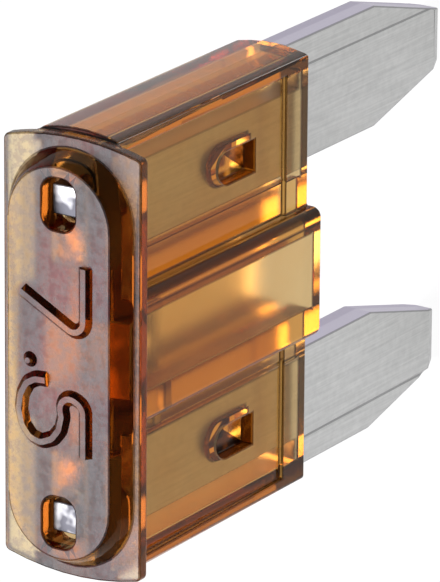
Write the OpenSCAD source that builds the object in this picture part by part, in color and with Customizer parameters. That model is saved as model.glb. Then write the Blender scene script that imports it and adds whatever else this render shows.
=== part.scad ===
// Miniature plug-in blade fuse.
// A hollow moulded housing, open underneath, holds one stamped metal element:
// two blades, two legs with a stake hole each, two test tabs and the fuse link.
// X is the width, Y the thickness, Z points up through the head.
// Z = 0 is the underside of the housing, where the blades come out.

/* [Blades] */
// Width over the outer edges of both blades
blade_span = 10.9; // [10.5:0.1:11.3]
// Width of one blade
blade_width = 3.05; // [2.6:0.05:3.2]
// Thickness of the metal strip
metal_thickness = 0.8; // [0.7:0.02:0.9]
// Length of the blades below the housing
blade_length = 7.15; // [6:0.05:8]
// Height of the slanted corners at the blade tip
tip_slant_height = 3.15; // [1.5:0.05:3.5]
// Width that each slanted corner takes off the tip
tip_slant_width = 0.85; // [0.4:0.05:1]
// Height of the lead-in ground on both faces of the tip
tip_bevel_height = 0.4; // [0.2:0.05:0.8]
// Depth of that lead-in on each face
tip_bevel_depth = 0.15; // [0.05:0.01:0.25]
// Width of the coined band along the outer edge
coined_band = 0.7; // [0.4:0.05:1]
// Depth that the coined band loses at the outer edge, each face
coined_depth = 0.04; // [0.02:0.01:0.08]
// Width of the score line that bounds the coined band
score_width = 0.12; // [0.06:0.02:0.2]

/* [Housing body] */
// How far each narrow side of the body stands out past the outer edge of its blade
side_overhang = 0.04; // [0:0.01:0.1]
// Thickness of the body beside the rib, at the open end
body_thickness = 2.08; // [2:0.02:2.3]
// Growth in that thickness from the open end up to the flange
body_draft = 0.2; // [0.1:0.02:0.3]
// Height of the body up to the top face of the flange
body_height = 8.4; // [8:0.1:9]
// Radius of the upright edges of the body
body_edge_radius = 0.28; // [0.2:0.02:0.4]
// Thickness of the wall at each narrow side
side_wall = 0.55; // [0.4:0.05:0.7]
// Height of the raised band along the open end
end_band = 1; // [0.6:0.1:1.5]
// Width of the raised strip along each narrow side
side_strip = 0.42; // [0.3:0.02:0.6]
// Depth of the window panels between band, strip, rib and flange
panel_depth = 0.09; // [0.05:0.01:0.14]

/* [Rib] */
// Width of the central hollow rib
rib_width = 3.24; // [2.8:0.04:3.6]
// Thickness of the body across the rib
rib_thickness = 2.88; // [2.6:0.02:3.2]
// Radius of the upright edges of the rib
rib_edge_radius = 0.24; // [0.1:0.02:0.3]
// Thickness of the side walls of the rib
rib_side_wall = 0.66; // [0.5:0.02:0.8]
// Thickness of the front wall of the rib
rib_front_wall = 0.58; // [0.4:0.02:0.7]

/* [Head] */
// Thickness of the flange, front to back
flange_thickness = 3.8; // [3.4:0.05:4]
// Height of the flange plate
flange_height = 0.3; // [0.2:0.05:0.6]
// How far each end of the flange stays short of the narrow side of the body
flange_inset = 0.12; // [0.06:0.02:0.2]
// How far the ends of the flange bow out at the middle
flange_bow = 0.27; // [0.1:0.01:0.4]
// How far the narrow sides of the body bow out at the middle
side_bow = 0.16; // [0.04:0.01:0.16]
// Radius of the corners of the flange
flange_corner_radius = 0.16; // [0.08:0.02:0.4]
// Height of the raised head above the flange
head_rise = 0.55; // [0.4:0.05:0.8]
// Land left on the flange along each long side of the raised head
head_side_land = 0.18; // [0.1:0.01:0.4]
// Land left on the flange at each end of the raised head
head_end_land = 0.28; // [0.2:0.02:0.5]
// How far the slanted side of the raised head leans in
head_draft = 0.3; // [0.1:0.02:0.4]

/* [Test slots] */
// Length of a test slot
slot_length = 1.25; // [1.1:0.05:1.6]
// Gap between each face of a test tab and the long side of its slot
slot_side_gap = 0.06; // [0.04:0.01:0.14]
// Gap between each narrow edge of a test tab and the end of its slot
slot_end_gap = 0.26; // [0.16:0.02:0.3]
// Radius of the corners of a test slot
slot_radius = 0.36; // [0.1:0.02:0.4]
// Depth of the metal below the top of the slot
test_tab_depth = 0.35; // [0.2:0.05:0.5]

/* [Stakes] */
// Height of the centre of the stake above the open end
stake_height = 2.95; // [2.4:0.05:3.5]
// Metal left on each side of the stake hole in a leg
stake_land = 0.5; // [0.36:0.02:0.6]
// Length of the stake post, flat end to round end
stake_length = 1.65; // [1.3:0.05:2]
// Width and length that the stake pocket is smaller than the post
pocket_inset = 0.06; // [0.04:0.01:0.1]
// Depth of the pocket pressed into the post from each face
pocket_depth = 0.3; // [0.1:0.05:0.5]

/* [Element legs] */
// Room between the outer edge of a leg and the narrow side wall
leg_side_room = 0.5; // [0.4:0.05:0.7]
// Room between the outer edge of a test tab and the narrow side wall
tab_side_room = 0.7; // [0.6:0.05:0.8]
// Distance from the top of a leg down to where it has widened to its test tab
tab_shoulder_drop = 1.12; // [0.8:0.02:1.6]

/* [Fuse link] */
// Thickness of the thinned link
link_thickness = 0.22; // [0.15:0.01:0.4]
// Width of the link strip
link_width = 0.3; // [0.2:0.02:0.5]
// Distance from the top of the legs down to the middle run of the link
link_drop = 1.7; // [1.5:0.05:3]
// Radius of the two turns of the link, along its middle line
link_turn_radius = 0.38; // [0.3:0.02:0.5]
// Distance from the middle to the centre of each turn
link_turn_offset = 0.4; // [0.2:0.05:1]

/* [Fits] */
// Gap between the metal and each long wall of its slot
wall_gap = 0.1; // [0.06:0.01:0.14]
// Gap between the inner edge of a leg and the end wall of its slot
leg_edge_gap = 0.12; // [0.06:0.02:0.2]
// Gap between the top of the link and the roof of the chamber inside the rib
link_headroom = 0.3; // [0.2:0.05:0.4]
// Gap around a stake post in the hole of a leg
stake_gap = 0.06; // [0.04:0.01:0.1]
// Gap between the shoulder of a blade and the underside
shoulder_gap = 0.04; // [0.02:0.01:0.1]
// Gap between the top of a leg and the roof of its slot
roof_gap = 0.08; // [0.04:0.01:0.15]
// Thickness of the roof over the legs, below the flange face
roof_below_flange = 0.2; // [0.1:0.02:0.3]

/* [View] */
// Piece to build

/* [Hidden] */
$fn = 64;
// Amount by which a cutting shape runs past the face that it opens
past = 0.2;
// Small lap that joins two touching solids
lap = 0.02;

half_span = blade_span / 2;
half_metal = metal_thickness / 2;
blade_inner = half_span - blade_width;
score_at = half_span - coined_band;

half_body = half_span + side_overhang;
half_body_thickness = body_thickness / 2;
panel_floor = half_body_thickness - panel_depth;
chamber_half_width = half_body - side_wall;
slot_half_thickness = half_metal + wall_gap;
chamber_roof = body_height - roof_below_flange;
leg_slot_inner = blade_inner - leg_edge_gap;
link_slot_half_thickness = link_thickness / 2 + wall_gap;

half_rib = rib_width / 2;
half_rib_thickness = rib_thickness / 2;
rib_chamber_half_width = half_rib - rib_side_wall;
rib_chamber_half_thickness = half_rib_thickness - rib_front_wall;
panel_outer = half_body - side_strip;

flange_under = body_height - flange_height;
half_flange = flange_thickness / 2;
flange_reach = half_body - flange_inset;
head_top = body_height + head_rise;
head_foot_radius = half_flange - head_side_land;
head_end_centre = flange_reach - head_end_land - head_foot_radius;

leg_outer = chamber_half_width - leg_side_room;
leg_middle = (blade_inner + leg_outer) / 2;
leg_top = chamber_roof - roof_gap;
stake_width = leg_outer - blade_inner - 2 * (stake_land + stake_gap);

tab_outer = chamber_half_width - tab_side_room;
tab_inner = tab_outer - slot_length + 2 * slot_end_gap;
tab_top = head_top - test_tab_depth;
tab_shoulder = leg_top - tab_shoulder_drop;
slot_centre = (tab_inner + tab_outer) / 2;
slot_width = metal_thickness + 2 * slot_side_gap;

link_height = leg_top - link_drop;
link_top = link_height + 2 * link_turn_radius + link_width / 2;
rib_chamber_top = link_top + link_headroom;
side_signs = [-1, 1];

// Rectangle around the origin with round corners
module round_rectangle(length, width, radius) {
    square([length - 2 * radius, width], center = true);
    square([length, width - 2 * radius], center = true);
    for (sx = side_signs, sy = side_signs)
        translate([sx * (length / 2 - radius), sy * (width / 2 - radius)])
            circle(r = radius);
}

// Upright prism with round corners, from one height to another
module upright_bar(length, width, radius, bottom, top) {
    translate([0, 0, bottom])
        linear_extrude(height = top - bottom)
            round_rectangle(length, width, radius);
}

// Box centred across X and Y
module centred_box(length, width, bottom, top) {
    translate([-length / 2, -width / 2, bottom])
        cube([length, width, top - bottom]);
}

// Outline of a stake: flat toward the open end, round toward the head
module stake_outline(width, length) {
    radius = width / 2;
    translate([-radius, -length / 2])
        square([width, length - radius]);
    translate([0, length / 2 - radius])
        circle(r = radius);
}

// Stake-shaped prism through the thickness, in its place at one leg
module stake_prism(side, width, length, from_y, to_y) {
    translate([side * leg_middle, to_y, stake_height])
        rotate([90, 0, 0])
            linear_extrude(height = to_y - from_y)
                stake_outline(width, length);
}

// Outline with straight long sides, bowed ends and round corners that run into both
module bowed_outline(half_length, half_width, bow, corner_radius) {
    bow_radius = (half_width * half_width + bow * bow) / (2 * bow);
    bow_centre = half_length - bow_radius;
    corner_y = half_width - corner_radius;
    corner_reach = bow_radius - corner_radius;
    corner_x = bow_centre + sqrt(corner_reach * corner_reach - corner_y * corner_y);
    tangent_y = corner_y * bow_radius / corner_reach;
    square([2 * corner_x, 2 * half_width], center = true);
    for (side = side_signs)
        intersection() {
            translate([side * half_length, 0])
                square([half_length, 2 * tangent_y], center = true);
            translate([side * bow_centre, 0])
                circle(r = bow_radius, $fn = 360);
        }
    for (sx = side_signs, sy = side_signs)
        translate([sx * corner_x, sy * corner_y])
            circle(r = corner_radius);
}

// Upright prism on the bowed outline, from one height to another
module bowed_bar(half_length, half_width, bow, corner_radius, bottom, top) {
    translate([0, 0, bottom])
        linear_extrude(height = top - bottom)
            bowed_outline(half_length, half_width, bow, corner_radius);
}

// Body whose long sides lean out from the open end up to the flange
module drafted_body() {
    thick_half = half_body_thickness + body_draft / 2;
    intersection() {
        bowed_bar(half_body, thick_half, side_bow, body_edge_radius, 0, flange_under + lap);
        rotate([90, 0, 90])
            linear_extrude(height = 3 * half_body, center = true)
                polygon([
                    [-half_body_thickness, 0],
                    [half_body_thickness, 0],
                    [thick_half, flange_under + lap],
                    [-thick_half, flange_under + lap]
                ]);
    }
}

// Raised head: two cone ends joined by a bar with the same slanted sides
module raised_head() {
    for (side = side_signs)
        translate([side * head_end_centre, 0, body_height - lap])
            cylinder(r1 = head_foot_radius, r2 = head_foot_radius - head_draft, h = head_rise + lap);
    translate([-head_end_centre, 0, body_height - lap])
        rotate([90, 0, 90])
            linear_extrude(height = 2 * head_end_centre)
                polygon([
                    [-head_foot_radius, 0],
                    [head_foot_radius, 0],
                    [head_foot_radius - head_draft, head_rise + lap],
                    [head_draft - head_foot_radius, head_rise + lap]
                ]);
}

// Sunk window panels on the front and back, either side of the rib
module panels() {
    panel_width = panel_outer - half_rib;
    cut_depth = panel_depth + body_draft;
    for (sx = side_signs, sy = side_signs)
        translate([
            sx > 0 ? half_rib : -panel_outer,
            sy > 0 ? panel_floor : -panel_floor - cut_depth,
            end_band
        ])
            cube([panel_width, cut_depth, flange_under - end_band]);
}

// Room for the legs and the link, open at the underside
module chamber() {
    for (side = side_signs)
        translate([side * (leg_slot_inner + chamber_half_width) / 2, 0, 0])
            centred_box(
                chamber_half_width - leg_slot_inner, 2 * slot_half_thickness, -past, chamber_roof
            );
    centred_box(2 * leg_slot_inner + lap, 2 * link_slot_half_thickness, -past, rib_chamber_top);
    centred_box(
        2 * rib_chamber_half_width, 2 * rib_chamber_half_thickness, -past, rib_chamber_top
    );
}

// Openings in the head through which the test tabs are touched
module test_slots() {
    for (side = side_signs)
        translate([side * slot_centre, 0, 0])
            upright_bar(slot_length, slot_width, slot_radius, chamber_roof - lap, head_top + past);
}

module housing() {
    color([0.72, 0.42, 0.16, 0.75])
        difference() {
            union() {
                drafted_body();
                upright_bar(rib_width, rib_thickness, rib_edge_radius, 0, flange_under + lap);
                bowed_bar(
                    flange_reach, half_flange, flange_bow, flange_corner_radius,
                    flange_under, body_height
                );
                raised_head();
            }
            panels();
            difference() {
                chamber();
                for (side = side_signs)
                    stake_prism(
                        side, stake_width, stake_length, -half_body_thickness, half_body_thickness
                    );
            }
            test_slots();
            for (side = side_signs, face = side_signs)
                stake_pocket(side, face);
        }
}

// Pocket left where the stake was pressed in from one face
module stake_pocket(side, face) {
    pocket_floor = panel_floor - pocket_depth;
    outside = half_body_thickness + past;
    stake_prism(
        side, stake_width - 2 * pocket_inset, stake_length - 2 * pocket_inset,
        face > 0 ? pocket_floor : -outside, face > 0 ? outside : -pocket_floor
    );
}

// Cross-section of a blade on the +X side: coined band along the outer edge
module blade_section() {
    edge_half = half_metal - coined_depth;
    polygon([
        [blade_inner, -half_metal],
        [score_at - score_width / 2, -half_metal],
        [score_at, coined_depth - half_metal],
        [score_at + score_width / 2, -half_metal],
        [half_span, -edge_half],
        [half_span, edge_half],
        [score_at + score_width / 2, half_metal],
        [score_at, half_metal - coined_depth],
        [score_at - score_width / 2, half_metal],
        [blade_inner, half_metal]
    ]);
}

// Face-on outline of a blade on the +X side
module blade_outline() {
    polygon([
        [blade_inner, -shoulder_gap],
        [half_span, -shoulder_gap],
        [half_span, tip_slant_height - blade_length],
        [half_span - tip_slant_width, -blade_length],
        [blade_inner + tip_slant_width, -blade_length],
        [blade_inner, tip_slant_height - blade_length]
    ]);
}

// Side view of a blade with the lead-in on both faces of the tip
module blade_side_view() {
    tip_half = half_metal - tip_bevel_depth;
    polygon([
        [-half_metal, 0],
        [-half_metal, tip_bevel_height - blade_length],
        [-tip_half, -blade_length],
        [tip_half, -blade_length],
        [half_metal, tip_bevel_height - blade_length],
        [half_metal, 0]
    ]);
}

module blade() {
    intersection() {
        translate([0, 0, -blade_length - past])
            linear_extrude(height = blade_length + past)
                blade_section();
        translate([0, metal_thickness, 0])
            rotate([90, 0, 0])
                linear_extrude(height = 2 * metal_thickness)
                    blade_outline();
        rotate([90, 0, 90])
            linear_extrude(height = blade_span)
                blade_side_view();
    }
}

// Leg inside the housing with its stake hole and its test tab
module leg() {
    difference() {
        translate([0, half_metal, 0])
            rotate([90, 0, 0])
                linear_extrude(height = metal_thickness)
                    polygon([
                        [blade_inner, -shoulder_gap - lap],
                        [leg_outer, -shoulder_gap - lap],
                        [leg_outer, tab_shoulder - abs(tab_outer - leg_outer)],
                        [tab_outer, tab_shoulder],
                        [tab_outer, tab_top],
                        [tab_inner, tab_top],
                        [tab_inner, leg_top],
                        [blade_inner, leg_top]
                    ]);
        stake_prism(
            1, stake_width + 2 * stake_gap, stake_length + 2 * stake_gap,
            -metal_thickness, metal_thickness
        );
    }
}

// Half ring for one turn of the link, open toward the middle
module link_turn(side) {
    outer = link_turn_radius + link_width / 2;
    inner = link_turn_radius - link_width / 2;
    translate([side * link_turn_offset, link_thickness / 2, link_height + side * link_turn_radius])
        rotate([90, 0, 0])
            linear_extrude(height = link_thickness)
                difference() {
                    circle(r = outer);
                    circle(r = inner);
                    translate([side > 0 ? -2 * outer : 0, -outer])
                        square([2 * outer, 2 * outer]);
                }
}

// Straight run of the link between two distances from the middle
module link_run(from_x, to_x, height) {
    translate([from_x, -link_thickness / 2, height - link_width / 2])
        cube([to_x - from_x, link_thickness, link_width]);
}

// Thinned S-shaped link from one leg to the other
module fuse_link() {
    upper_run = link_height + 2 * link_turn_radius;
    lower_run = link_height - 2 * link_turn_radius;
    link_turn(1);
    link_turn(-1);
    link_run(-link_turn_offset - lap, link_turn_offset + lap, link_height);
    link_run(-blade_inner - lap, link_turn_offset + lap, upper_run);
    link_run(-link_turn_offset - lap, blade_inner + lap, lower_run);
}

module fuse_element() {
    color([0.78, 0.79, 0.78])
        union() {
            for (side = side_signs)
                mirror([side < 0 ? 1 : 0, 0, 0]) {
                    blade();
                    leg();
                }
            fuse_link();
        }
}

housing();
fuse_element();
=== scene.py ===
import math

import bmesh
import bpy
from mathutils import Matrix, Vector


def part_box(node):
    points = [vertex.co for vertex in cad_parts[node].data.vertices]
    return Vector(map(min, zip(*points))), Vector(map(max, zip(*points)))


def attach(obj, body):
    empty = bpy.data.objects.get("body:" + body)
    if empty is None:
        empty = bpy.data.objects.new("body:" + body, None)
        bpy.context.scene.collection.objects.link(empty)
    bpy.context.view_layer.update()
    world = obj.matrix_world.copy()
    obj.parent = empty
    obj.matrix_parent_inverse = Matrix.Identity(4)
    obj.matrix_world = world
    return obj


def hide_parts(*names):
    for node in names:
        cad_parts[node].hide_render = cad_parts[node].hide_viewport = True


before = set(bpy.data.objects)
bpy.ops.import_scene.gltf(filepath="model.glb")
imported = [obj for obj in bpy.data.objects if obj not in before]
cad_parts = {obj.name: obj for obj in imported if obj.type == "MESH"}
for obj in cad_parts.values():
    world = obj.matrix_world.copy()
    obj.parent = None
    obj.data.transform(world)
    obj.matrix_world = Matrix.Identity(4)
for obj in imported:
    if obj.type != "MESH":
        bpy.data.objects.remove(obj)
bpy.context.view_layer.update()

scene = bpy.context.scene
perMetre = 1000  # the pieces' own sizes are in millimetres
far = math.inf  # an open end of a range
white = (1.0, 1.0, 1.0, 1.0)


# A node with its properties set, and each input given a value or linked to another node's output
def addNode(tree, kind, values=None, **settings):
    made = tree.nodes.new(kind)
    for name, value in settings.items():
        setattr(made, name, value)
    for name, value in (values or {}).items():
        if isinstance(value, bpy.types.NodeSocket):
            tree.links.new(value, made.inputs[name])
        else:
            made.inputs[name].default_value = value
    return made


def addMaths(tree, operation, first, second=0.0):
    return addNode(tree, "ShaderNodeMath", {0: first, 1: second}, operation=operation).outputs[0]


def blendValues(tree, factor, low, high):
    values = {0: factor, 2: low, 3: high}
    return addNode(tree, "ShaderNodeMix", values, data_type="FLOAT").outputs[0]


def blendColours(tree, factor, low, high):
    values = {0: factor, 6: low, 7: high}
    return addNode(tree, "ShaderNodeMix", values, data_type="RGBA").outputs[2]


def multiplyColours(tree, first, second):
    values = {0: 1.0, 6: first, 7: second}
    made = addNode(tree, "ShaderNodeMix", values, data_type="RGBA", blend_type="MULTIPLY")
    return made.outputs[2]


# Spreads what lies between two limits over 0 to 1
def spreadValues(tree, value, limits):
    values = {"Value": value, "From Min": limits[0], "From Max": limits[1]}
    return addNode(tree, "ShaderNodeMapRange", values).outputs[0]


def addRamp(tree, value, stops):
    made = addNode(tree, "ShaderNodeValToRGB", {0: value})
    elements = made.color_ramp.elements
    for spot, colour in stops[2:]:  # a new ramp has two stops already
        elements.new(spot)
    for element, (spot, colour) in zip(elements, stops):
        element.position = spot
        element.color = colour
    return made.outputs[0]


def addNoise(tree, place, scale, detail, roughness=0.5):
    values = {"Vector": place, "Scale": scale, "Detail": detail, "Roughness": roughness}
    return addNode(tree, "ShaderNodeTexNoise", values).outputs[0]


def readMark(tree, name):
    return addNode(tree, "ShaderNodeAttribute", attribute_name=name).outputs["Fac"]


def splitAxes(tree, vector):
    return addNode(tree, "ShaderNodeSeparateXYZ", {0: vector}).outputs


# The object's own coordinates in millimetres, each axis stretched as given
def millimetrePlace(tree, stretch=(1.0, 1.0, 1.0)):
    place = addNode(tree, "ShaderNodeTexCoord").outputs["Object"]
    values = {"Vector": place, "Scale": [perMetre * part for part in stretch]}
    return addNode(tree, "ShaderNodeMapping", values).outputs[0]


def newMaterial(name):
    made = bpy.data.materials.new(name)
    made.use_nodes = True
    tree = made.node_tree
    return made, tree, tree.nodes["Principled BSDF"]


# The view: image width and focal length in pixels, and the camera's axes and place in metres
viewSetup = {
    "imageWidth": 440,
    "focalPixels": 6500,
    "sensorWidth": 36,
    "nearClip": 0.01,
    "right": (-0.00701, 0.83591, -0.54882),
    "up": (-0.94390, -0.18674, -0.27236),
    "back": (-0.33015, 0.51613, 0.79033),
    "place": (-0.050814, 0.079661, 0.124175),
}


def makeCamera():
    camera = bpy.data.cameras.new("photoCamera")
    camera.sensor_fit = "HORIZONTAL"
    camera.sensor_width = viewSetup["sensorWidth"]
    camera.lens = viewSetup["focalPixels"] / viewSetup["imageWidth"] * viewSetup["sensorWidth"]
    camera.clip_start = viewSetup["nearClip"]
    holder = bpy.data.objects.new("photoCamera", camera)
    scene.collection.objects.link(holder)
    axes = [Vector(viewSetup[name]) for name in ("right", "up", "back")]
    place = Matrix(axes).transposed().to_4x4()
    place.translation = Vector(viewSetup["place"])
    holder.matrix_world = place
    scene.camera = holder


# The studio, in metres: a dim even room, a white table at the blade tips and one large soft box
studioSetup = {
    "roomStrength": 0.13,
    "roomColour": white,
    "floorHeight": -0.0072,
    "floorHalfSize": 0.6,
    "floorColour": (0.12, 0.12, 0.12, 1.0),
    "floorRoughness": 0.8,
    "floorGlow": 0.95,
    "mirroredGlow": 0.6,  # the table's glow as the metal and the plastic mirror it
    "boxDirection": (0.326, -0.516, 0.792),
    "boxDistance": 0.25,
    "boxSide": 0.15,
    "boxPower": 0.42,
    "boxColour": (0.96, 0.95, 1.0),
    "target": (0.0, 0.0, 0.004),
}


def makeStudio():
    scene.view_settings.view_transform = "Standard"
    room = bpy.data.worlds.new("studioRoom")
    room.use_nodes = True
    light = room.node_tree.nodes["Background"]
    light.inputs["Color"].default_value = studioSetup["roomColour"]
    light.inputs["Strength"].default_value = studioSetup["roomStrength"]
    scene.world = room

    floorMesh = bpy.data.meshes.new("floor")
    grid = bmesh.new()
    bmesh.ops.create_grid(grid, x_segments=1, y_segments=1, size=studioSetup["floorHalfSize"])
    grid.to_mesh(floorMesh)
    grid.free()
    floor = bpy.data.objects.new("floor", floorMesh)
    floor.location.z = studioSetup["floorHeight"]
    scene.collection.objects.link(floor)
    table, tree, surface = newMaterial("whiteTable")
    surface.inputs["Base Color"].default_value = studioSetup["floorColour"]
    surface.inputs["Roughness"].default_value = studioSetup["floorRoughness"]
    surface.inputs["Emission Color"].default_value = white
    mirrored = addNode(tree, "ShaderNodeLightPath").outputs["Is Glossy Ray"]
    glow = blendValues(tree, mirrored, studioSetup["floorGlow"], studioSetup["mirroredGlow"])
    tree.links.new(glow, surface.inputs["Emission Strength"])
    floorMesh.materials.append(table)

    direction = Vector(studioSetup["boxDirection"]).normalized()
    lamp = bpy.data.lights.new("softBox", "AREA")
    lamp.size = studioSetup["boxSide"]
    lamp.energy = studioSetup["boxPower"]
    lamp.color = studioSetup["boxColour"]
    holder = bpy.data.objects.new("softBox", lamp)
    scene.collection.objects.link(holder)
    holder.location = Vector(studioSetup["target"]) + direction * studioSetup["boxDistance"]
    holder.rotation_euler = direction.to_track_quat("Z", "Y").to_euler()


# How both pieces are cleaned and shaded: distances in millimetres, angles in degrees
cleanUp = {
    "mergedWithin": 0.0004,
    "flatWithin": 0.6,
    "shortestEdge": 0.001,
    "creasedAbove": 14,
    "squareToX": 0.9999,  # a face whose normal has this much of X is shaded flat
    "squareToYZ": 0.998,
}


# A copy of a CAD node in millimetres, with its corners merged
def workingCopy(nodeName):
    work = bmesh.new()
    work.from_mesh(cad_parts[nodeName].data)
    bmesh.ops.scale(work, vec=(perMetre,) * 3, verts=work.verts)
    bmesh.ops.remove_doubles(work, verts=work.verts, dist=cleanUp["mergedWithin"])
    mesh = bpy.data.meshes.new(nodeName + "Working")
    work.to_mesh(mesh)
    work.free()
    return mesh


# The object's mesh with its modifiers applied
def appliedCopy(holder):
    graph = bpy.context.evaluated_depsgraph_get()
    return bpy.data.meshes.new_from_object(holder.evaluated_get(graph))


# Merges the triangles to faces and rounds the sharp edges, apart from those that staysCrisp picks
def softened(mesh, look, staysCrisp=lambda edge: False):
    work = bmesh.new()
    work.from_mesh(mesh)
    bmesh.ops.remove_doubles(work, verts=work.verts, dist=cleanUp["mergedWithin"])
    flat = math.radians(cleanUp["flatWithin"])
    bmesh.ops.dissolve_limit(work, angle_limit=flat, verts=work.verts, edges=work.edges)
    bmesh.ops.dissolve_degenerate(work, dist=cleanUp["shortestEdge"], edges=work.edges)
    limit = math.radians(look["roundedAbove"])
    sharp = [
        edge for edge in work.edges
        if edge.is_manifold and edge.calc_face_angle(0) > limit and not staysCrisp(edge)
    ]
    # Rounded edges get painted shade: a darker colour kept on their faces
    paintedShade = work.faces.layers.float.new("paintedShade")
    made = bmesh.ops.bevel(
        work, geom=sharp, offset=look["edgeRounding"], segments=look["roundingSteps"],
        affect="EDGES", profile=0.5
    )
    for face in made["faces"]:
        face[paintedShade] = look["edgeShadeAmount"]
    bmesh.ops.triangulate(work, faces=[face for face in work.faces if len(face.verts) > 4])
    work.to_mesh(mesh)
    work.free()
    return mesh


def finishedPiece(name, mesh, material, node):
    mesh.transform(Matrix.Scale(1 / perMetre, 4))
    mesh.materials.clear()
    mesh.materials.append(material)
    mesh.shade_smooth()
    mesh.set_sharp_from_angle(angle=math.radians(cleanUp["creasedAbove"]))
    for face in mesh.polygons:
        partX, partY, partZ = (abs(part) for part in face.normal)
        face.use_smooth = partX < cleanUp["squareToX"] and max(partY, partZ) < cleanUp["squareToYZ"]
    piece = bpy.data.objects.new(name, mesh)
    scene.collection.objects.link(piece)
    weighted = piece.modifiers.new("weightedNormals", "WEIGHTED_NORMAL")
    weighted.keep_sharp = True
    plain = appliedCopy(piece)
    piece.modifiers.clear()
    piece.data = plain
    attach(piece, "root")
    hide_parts(node)
    return piece


# Raised numeral on the head, in millimetres: a stroke is Foot Width wide below and Top Width above,
# and reaches Sunk into the head. The paths are seen from above, with +X to the right.
numeralLook = {
    "inputs": {
        "Foot Width": 0.5,
        "Top Width": 0.14,
        "Rise": 0.12,
        "Sunk": 0.06,
        "Bend Radius": 0.28,
        "Bend Steps": 8,
        "Stud Sides": 20,
    },
    "reach": 2.8,  # along X, past both ends of the numeral
    "headTolerance": 0.001,
    "paths": [
        [(-2.5, 0.76), (-0.75, 0.76), (-1.65, -0.98)],
        [(0.0, -0.78)],
        [
            (2.1, 0.76), (0.86, 0.76), (0.5, 0.02), (1.2, 0.16), (1.54, 0.08), (1.8, -0.12),
            (1.94, -0.43), (1.86, -0.72), (1.6, -0.94), (1.22, -1.03), (0.86, -0.98), (0.56, -0.82),
            (0.42, -0.58), (0.4, -0.3),
        ],
    ],
}


# Geometry Nodes: a bar with slanted sides along each path, and a round stud on each loose point
def makeStrokeTree():
    tree = bpy.data.node_groups.new("raisedStrokes", "GeometryNodeTree")
    tree.interface.new_socket("Geometry", in_out="INPUT", socket_type="NodeSocketGeometry")
    for label, value in numeralLook["inputs"].items():
        kind = "NodeSocketInt" if isinstance(value, int) else "NodeSocketFloat"
        tree.interface.new_socket(label, in_out="INPUT", socket_type=kind)
    tree.interface.new_socket("Plastic", in_out="INPUT", socket_type="NodeSocketMaterial")
    tree.interface.new_socket("Geometry", in_out="OUTPUT", socket_type="NodeSocketGeometry")
    given = tree.nodes.new("NodeGroupInput").outputs
    height = addMaths(tree, "ADD", given["Rise"], given["Sunk"])

    path = addNode(tree, "GeometryNodeMeshToCurve", {"Mesh": given["Geometry"]})
    bend = addNode(tree, "GeometryNodeFilletCurve", {
        "Curve": path.outputs[0], "Radius": given["Bend Radius"], "Count": given["Bend Steps"],
        "Limit Radius": True
    }, mode="POLY")
    upright = addNode(tree, "GeometryNodeSetCurveNormal", {"Curve": bend.outputs[0]}, mode="Z_UP")
    section = addNode(tree, "GeometryNodeCurvePrimitiveQuadrilateral", {
        "Bottom Width": given["Top Width"], "Top Width": given["Foot Width"],
        "Height": height, "Offset": 0.0
    }, mode="TRAPEZOID")
    bars = addNode(tree, "GeometryNodeCurveToMesh", {
        "Curve": upright.outputs[0], "Profile Curve": section.outputs[0], "Fill Caps": True
    })

    neighbours = addNode(tree, "GeometryNodeInputMeshVertexNeighbors").outputs[0]
    loose = addMaths(tree, "LESS_THAN", neighbours, 0.5)  # such a point has no neighbour
    stud = addNode(tree, "GeometryNodeMeshCone", {
        "Vertices": given["Stud Sides"], "Side Segments": 1, "Fill Segments": 1, "Depth": height,
        "Radius Top": addMaths(tree, "MULTIPLY", given["Top Width"], 0.5),
        "Radius Bottom": addMaths(tree, "MULTIPLY", given["Foot Width"], 0.5)
    })
    halfDown = addMaths(tree, "MULTIPLY", height, -0.5)
    centred = addNode(tree, "GeometryNodeTransform", {
        "Geometry": stud.outputs["Mesh"],
        "Translation": addNode(tree, "ShaderNodeCombineXYZ", {"Z": halfDown}).outputs[0]
    })
    studs = addNode(tree, "GeometryNodeInstanceOnPoints", {
        "Points": given["Geometry"], "Selection": loose, "Instance": centred.outputs[0]
    })

    joined = addNode(tree, "GeometryNodeJoinGeometry")
    for part in (studs, bars):
        tree.links.new(part.outputs[0], joined.inputs[0])
    lift = addMaths(tree, "MULTIPLY", addMaths(tree, "SUBTRACT", given["Rise"], given["Sunk"]), 0.5)
    raised = addNode(tree, "GeometryNodeTransform", {
        "Geometry": joined.outputs[0],
        "Translation": addNode(tree, "ShaderNodeCombineXYZ", {"Z": lift}).outputs[0]
    })
    real = addNode(tree, "GeometryNodeRealizeInstances", {"Geometry": raised.outputs[0]})
    moulded = addNode(tree, "GeometryNodeSetMaterial", {
        "Geometry": real.outputs[0], "Material": given["Plastic"]
    })
    result = tree.nodes.new("NodeGroupOutput")
    tree.links.new(moulded.outputs[0], result.inputs[0])
    return tree


def makeNumeral(height, plastic):
    mesh = bpy.data.meshes.new("numeralPaths")
    points, edges = [], []
    for path in numeralLook["paths"]:
        first = len(points)
        points += [(x, y, height) for x, y in path]
        edges += [(first + step, first + step + 1) for step in range(len(path) - 1)]
    mesh.from_pydata(points, edges, [])
    holder = bpy.data.objects.new("numeralPaths", mesh)
    scene.collection.objects.link(holder)
    sweep = holder.modifiers.new("raisedStrokes", "NODES")
    sweep.node_group = makeStrokeTree()
    values = {**numeralLook["inputs"], "Plastic": plastic}
    for socket in sweep.node_group.interface.items_tree:
        if socket.name in values:
            sweep[socket.identifier] = values[socket.name]
    swept = appliedCopy(holder)
    holder.modifiers.clear()
    bpy.data.objects.remove(holder)
    return swept


def isStrokeEdge(edge, headTop):
    lowest = headTop - numeralLook["headTolerance"]
    return all(vert.co.z > lowest and abs(vert.co.x) < numeralLook["reach"] for vert in edge.verts)


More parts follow.
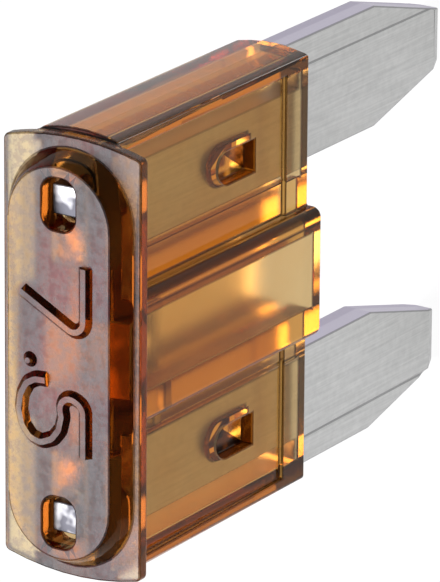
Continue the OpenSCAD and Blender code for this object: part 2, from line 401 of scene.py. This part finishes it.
def joinedTo(mesh, extra):
    base = bpy.data.objects.new("joinBase", mesh)
    tool = bpy.data.objects.new("joinTool", extra)
    for holder in (base, tool):
        scene.collection.objects.link(holder)
    union = base.modifiers.new("union", "BOOLEAN")
    union.operation = "UNION"
    union.solver = "EXACT"
    union.object = tool
    result = appliedCopy(base)
    base.modifiers.clear()
    for holder in (base, tool):
        bpy.data.objects.remove(holder)
    return result


# Zones of the housing's faces, each as the ranges that a face's measures lie in (see faceMeasures)
strokeZone = {"outX": (-far, numeralLook["reach"]), "under": (-far, 0.02)}
flangeEdge = {"under": (0.55, 0.85), "normalZ": (-far, 0.5)}
bowedEnd = {"normalX": (0.8, far)}

# Housing: sizes in millimetres, angles in degrees, each noise as its scale, detail and roughness
housingLook = {
    "edgeRounding": 0.045,
    "roundedAbove": 28,
    "roundingSteps": 2,
    # painted shade on the rounded edges
    "edgeShadeAmount": 0.7,
    "refraction": 1.55,
    "absorbedColour": (0.95, 0.67, 0.0, 1.0),
    "absorbedDensity": 1620,
    "polishedRoughness": 0.05,
    "chamberRoughness": 0.22,
    "frostedRoughness": (0.2, 0.55),
    "frostedClearness": (0.82, 1.0),
    "frostedTints": ((0.42, 0.36, 0.36, 1.0), white),
    "grainNoise": (3.8, 4.0, 0.68),
    "patchLimits": (0.42, 0.58),
    "paintedBandReach": 2.0,
    "paintedLightBands": [  # painted light and shade in bands along Y, from the back of the head to its front, within the band reach: golden light through the back of the flange, grey shade over the walls, an orange glow over the chamber and a pale highlight at the front
        (-1.4, (1.0, 0.88, 0.5, 1.0)),
        (-1.15, (1.0, 0.88, 0.5, 1.0)),
        (-0.95, (0.42, 0.38, 0.4, 1.0)),
        (-0.6, (0.42, 0.38, 0.4, 1.0)),
        (-0.4, (1.0, 0.64, 0.38, 1.0)),
        (0.45, (1.0, 0.64, 0.38, 1.0)),
        (0.65, (0.52, 0.48, 0.52, 1.0)),
        (1.3, (0.6, 0.56, 0.62, 1.0)),
        (1.6, (1.0, 0.95, 1.0, 1.0)),
    ],
    "flowNoise": (0.8, 3.0),
    "flowRelief": 0.02,
    "flowHeight": 0.2,
    "clearTint": (0.95, 0.8, 0.62, 1.0),
    "surfaceTint": (0.45, 0.3, 0.18, 1.0),
    "paintedShadeTints": [  # by the painted shade that the marks below give a face: higher values darken a face as if it lay in shade
        (0.0, white),
        (0.3, (0.85, 0.42, 0.14, 1.0)),
        (0.6, (0.45, 0.41, 0.4, 1.0)),
        (0.9, (0.09, 0.036, 0.02, 1.0)),
        (1.0, (0.02, 0.007, 0.004, 1.0)),
    ],
    # A face gets the value of the first zone that it is in, or else keeps its own
    "marks": {
        # the frost mark also sets where the painted bands of light and shade go
        "frostAndPaintedBands": [
            (0.35, {**bowedEnd, "outX": (5.1, far)}),
            (1.0, {"under": (-far, 1.05), "upward": (0.9, far)}),  # head and flange, from above
        ],
        "inside": [
            (1.0, {
                "outX": (-far, 4.9), "outY": (-far, 0.94), "above": (0.1, far), "under": (0.65, far)
            }),
            (1.0, flangeEdge),
        ],
        # Painted shade: pockets, slots, the strokes' slanted sides, the rib's side and the head's
        # wall are darkened in colour as if in shade
        "paintedShade": [
            (0.9, {**strokeZone, "upward": (-far, 0.9)}),  # slanted sides of the strokes
            (0.0, strokeZone),  # their tops, and the head between them
            (1.0, {"outX": (3.32, 4.42), "outY": (0.52, 0.92), "above": (2.05, 3.85)}),  # stakes
            (0.75, {"outX": (1.37, 1.87), "outY": (1.0, far), "normalY": (-far, 0.97)}),  # rib
            (0.9, {"outX": (3.1, 4.6), "outY": (-far, 0.5), "under": (-far, 0.7)}),  # slots
            (0.6, flangeEdge),
            (0.75, {"under": (0.0, 0.55), "normalZ": (-far, 0.5)}),  # wall of the head
            # Bowed ends, inside and outside
            (0.3, {**bowedEnd, "outX": (4.6, 5.15), "outY": (-far, 0.6), "under": (0.6, far)}),
            (0.05, {**bowedEnd, "outX": (5.2, far)}),
            (0.0, {"squareness": (0.995, far)}),  # walls square to an axis
        ],
    },
}


def makeAmberPlastic():
    look = housingLook
    made, tree, surface = newMaterial("amberPlastic")
    place = millimetrePlace(tree)
    frostAndPaintedBands, inside, paintedShade = (readMark(tree, name) for name in ("frostAndPaintedBands", "inside", "paintedShade"))
    flow = addNoise(tree, place, *look["flowNoise"])
    grain = addNoise(tree, place, *look["grainNoise"])
    patchy = spreadValues(tree, grain, look["patchLimits"])

    # Matt faces: random patches of tint under painted bands of light and shade that run along the
    # head
    reach = look["paintedBandReach"]
    across = spreadValues(tree, splitAxes(tree, place)["Y"], (-reach, reach))
    stops = [((spot + reach) / (2 * reach), colour) for spot, colour in look["paintedLightBands"]]
    patches = blendColours(tree, patchy, *look["frostedTints"])
    patchesAndPaintedLight = multiplyColours(tree, patches, addRamp(tree, across, stops))
    mottled = blendValues(tree, grain, *look["frostedRoughness"])
    milky = blendValues(tree, patchy, *look["frostedClearness"])

    clear = blendColours(tree, flow, look["clearTint"], white)
    smooth = blendValues(tree, inside, look["polishedRoughness"], look["chamberRoughness"])
    # The matt faces carry the painted bands of light and shade
    colour = blendColours(tree, frostAndPaintedBands, clear, patchesAndPaintedLight)
    # Painted shade: the marked faces are darkened toward deep brown
    colour = multiplyColours(tree, colour, addRamp(tree, paintedShade, look["paintedShadeTints"]))
    tree.links.new(colour, surface.inputs["Base Color"])
    tree.links.new(blendValues(tree, frostAndPaintedBands, smooth, mottled), surface.inputs["Roughness"])
    tree.links.new(blendValues(tree, frostAndPaintedBands, 1.0, milky), surface.inputs["Transmission Weight"])
    shine = blendColours(tree, frostAndPaintedBands, look["surfaceTint"], white)
    tree.links.new(shine, surface.inputs["Specular Tint"])
    surface.inputs["IOR"].default_value = look["refraction"]
    waves = addNode(tree, "ShaderNodeBump", {
        "Height": flow, "Distance": look["flowHeight"] / perMetre, "Strength": look["flowRelief"]
    })
    tree.links.new(waves.outputs[0], surface.inputs["Normal"])

    amber = addNode(tree, "ShaderNodeVolumeAbsorption")
    amber.inputs["Color"].default_value = look["absorbedColour"]
    amber.inputs["Density"].default_value = look["absorbedDensity"]
    tree.links.new(amber.outputs[0], tree.nodes["Material Output"].inputs["Volume"])
    return made


# Where a face lies and how it is turned: outX and outY are distances from the middle, above is its
# height over the open underside, and under is how far it lies below the head's top
def faceMeasures(face, headTop):
    centre = face.center
    normalX, normalY, normalZ = (abs(part) for part in face.normal)
    return {
        "outX": abs(centre.x), "outY": abs(centre.y),
        "above": centre.z, "under": headTop - centre.z,
        "normalX": normalX, "normalY": normalY, "normalZ": normalZ,
        "upward": face.normal.z, "squareness": max(normalX, normalY, normalZ),
    }


def zoneValue(zones, measures, otherwise):
    for value, ranges in zones:
        if all(low < measures[name] < high for name, (low, high) in ranges.items()):
            return value
    return otherwise


# Marks which faces are matt, which lie inside the chamber, and how much painted shade darkens each
# one
def markFinish(mesh, headTop):
    measures = [faceMeasures(face, headTop) for face in mesh.polygons]
    for name, zones in housingLook["marks"].items():
        if name not in mesh.attributes:
            mesh.attributes.new(name, "FLOAT", "FACE")
        for mark, measured in zip(mesh.attributes[name].data, measures):
            mark.value = zoneValue(zones, measured, mark.value)


def makeHousing(plastic):
    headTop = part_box("housing")[1][2] * perMetre
    numeral = makeNumeral(headTop, plastic)
    print("numeral swept:", len(numeral.polygons), "faces")
    joined = joinedTo(workingCopy("housing"), numeral)
    mesh = softened(joined, housingLook, lambda edge: isStrokeEdge(edge, headTop))
    markFinish(mesh, headTop)
    return finishedPiece("amberHousing", mesh, plastic, "housing")


# Element: sizes in millimetres, angles in degrees, each noise as its scale, detail and roughness
elementLook = {
    "edgeRounding": 0.035,
    "roundedAbove": 40,
    "roundingSteps": 2,
    # painted shade on the rounded edges of the metal
    "edgeShadeAmount": 0.6,
    "darkMetal": (0.46, 0.465, 0.46, 1.0),
    "lightMetal": (1.0, 1.0, 0.99, 1.0),
    # painted shade colour for the rounded edges
    "edgeShadeColour": (0.2, 0.2, 0.21, 1.0),
    "shearedMetal": (0.68, 0.64, 0.76, 1.0),
    # painted shade and bright metal for the tab ends in the slots
    "tabPaintedShade": ((0.16, 0.16, 0.18, 1.0), white),
    "rolledRoughness": (0.28, 0.44),
    "brokenRoughness": 0.58,
    "tabRoughness": 0.5,
    "streakStretch": (18.0, 18.0, 0.5),
    "streakNoise": (1.0, 3.0),
    "streakShare": 0.6,
    "mottleNoise": (4.5, 4.0, 0.6),
    "tabNoise": (1.6, 2.0),
    "tabLimits": (0.42, 0.58),
    "facingLimit": 0.5,  # with more of its normal along an axis, a face counts as turned to it
    "brokenBehind": -0.05,  # along Y
    "reliefStrength": 0.25,
    "reliefHeight": 0.03,
}


def makeZincStrip():
    look = elementLook
    made, tree, surface = newMaterial("zincStrip")
    place = millimetrePlace(tree)
    streaks = addNoise(tree, millimetrePlace(tree, look["streakStretch"]), *look["streakNoise"])
    mottle = addNoise(tree, place, *look["mottleNoise"])
    pattern = blendValues(tree, look["streakShare"], mottle, streaks)
    facing = splitAxes(tree, addNode(tree, "ShaderNodeNewGeometry").outputs["Normal"])

    # Sheared narrow sides: burnished on one half of the thickness, broken and rough on the other
    broadside = addMaths(tree, "ABSOLUTE", facing["Y"])
    sheared = addMaths(tree, "LESS_THAN", broadside, look["facingLimit"])
    behind = addMaths(tree, "LESS_THAN", splitAxes(tree, place)["Y"], look["brokenBehind"])
    broken = addMaths(tree, "MULTIPLY", sheared, behind)

    # Ends of the test tabs, down in the slots: painted shade in dark spots, with bright metal
    # between
    upward = addMaths(tree, "GREATER_THAN", facing["Z"], look["facingLimit"])
    paintedShadeSpots = spreadValues(tree, addNoise(tree, place, *look["tabNoise"]), look["tabLimits"])

    colour = blendColours(tree, pattern, look["darkMetal"], look["lightMetal"])
    colour = blendColours(tree, sheared, colour, look["shearedMetal"])
    colour = blendColours(tree, upward, colour, blendColours(tree, paintedShadeSpots, *look["tabPaintedShade"]))
    # Painted shade: the rounded edges are darkened to a near-black grey
    colour = blendColours(tree, readMark(tree, "paintedShade"), colour, look["edgeShadeColour"])
    worn = blendValues(tree, pattern, *look["rolledRoughness"])
    worn = blendValues(tree, broken, worn, look["brokenRoughness"])
    worn = blendValues(tree, upward, worn, look["tabRoughness"])
    tree.links.new(colour, surface.inputs["Base Color"])
    tree.links.new(worn, surface.inputs["Roughness"])
    surface.inputs["Metallic"].default_value = 1.0
    relief = addNode(tree, "ShaderNodeBump", {
        "Height": pattern, "Distance": look["reliefHeight"] / perMetre,
        "Strength": look["reliefStrength"]
    })
    tree.links.new(relief.outputs[0], surface.inputs["Normal"])
    return made


def makeElement(metal):
    mesh = softened(workingCopy("fuse_element"), elementLook)
    return finishedPiece("zincElement", mesh, metal, "fuse_element")


makeCamera()
makeStudio()
print("camera and studio ready")

amberPlastic = makeAmberPlastic()
zincStrip = makeZincStrip()
print("materials ready")

housing = makeHousing(amberPlastic)
print("housing ready:", len(housing.data.polygons), "faces")

element = makeElement(zincStrip)
print("element ready:", len(element.data.polygons), "faces")
